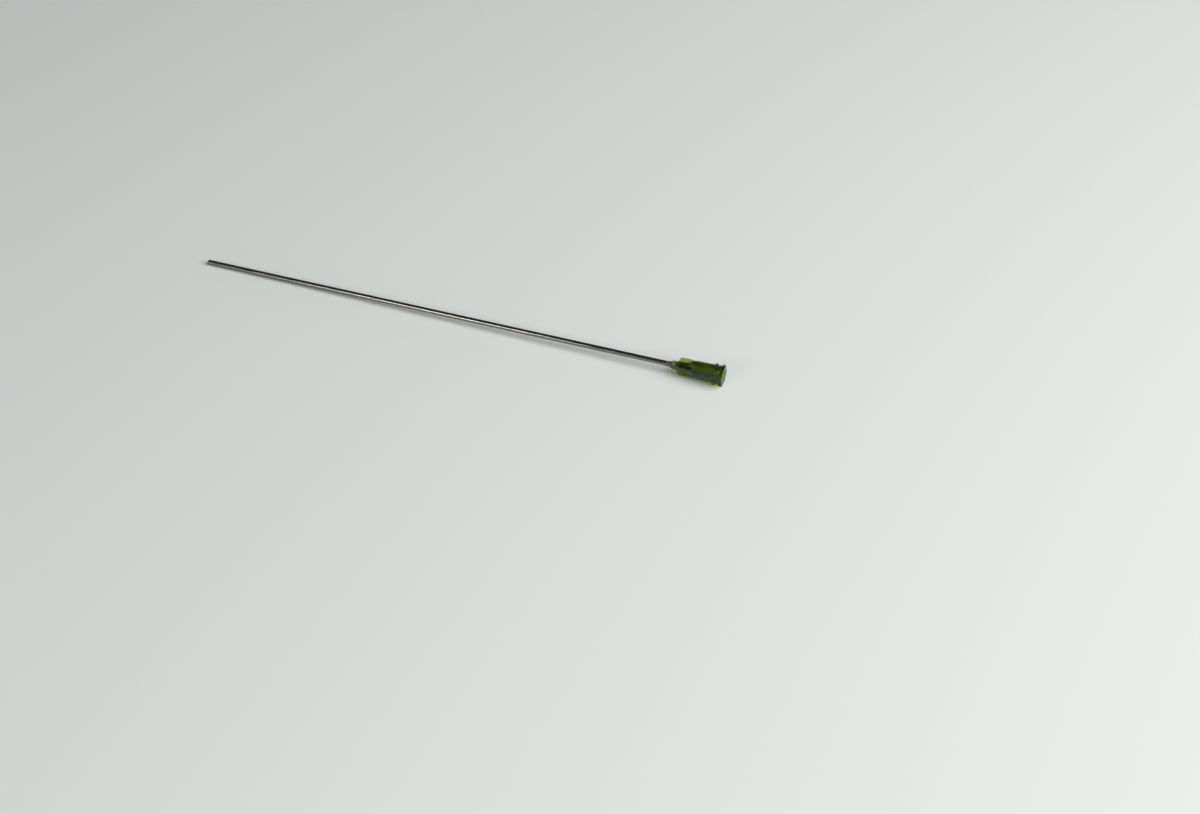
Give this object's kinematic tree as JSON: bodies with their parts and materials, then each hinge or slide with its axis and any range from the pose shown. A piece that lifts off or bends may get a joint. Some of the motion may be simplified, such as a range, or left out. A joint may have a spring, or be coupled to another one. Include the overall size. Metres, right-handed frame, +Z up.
{
  "type": "dispensing needle tip",
  "caption": "Long straight 14 gauge blunt dispensing needle: a steel cannula bonded into a winged moulded hub with a female Luer lock.",
  "frame": {"origin": "centre of the Luer mouth, on the hub's rim face", "axes": "+X runs along the cannula from the hub to the open end and leans 0.89 degrees down, as the tip lies on a bench; +Z is up"},
  "size_m": [0.1961, 0.0078, 0.0078],
  "materials": {
    "hub_plastic": "moulded polypropylene, translucent olive, satin to gloss",
    "cannula_steel": "drawn stainless steel tube, smooth and bright, square-cut end",
    "cured_adhesive": "cured clear adhesive, slightly cloudy, glossy"
  },
  "bodies": {
    "root": {"hub": "hub_plastic", "cannula": "cannula_steel", "adhesive": "cured_adhesive"}
  },
  "joints": []
}
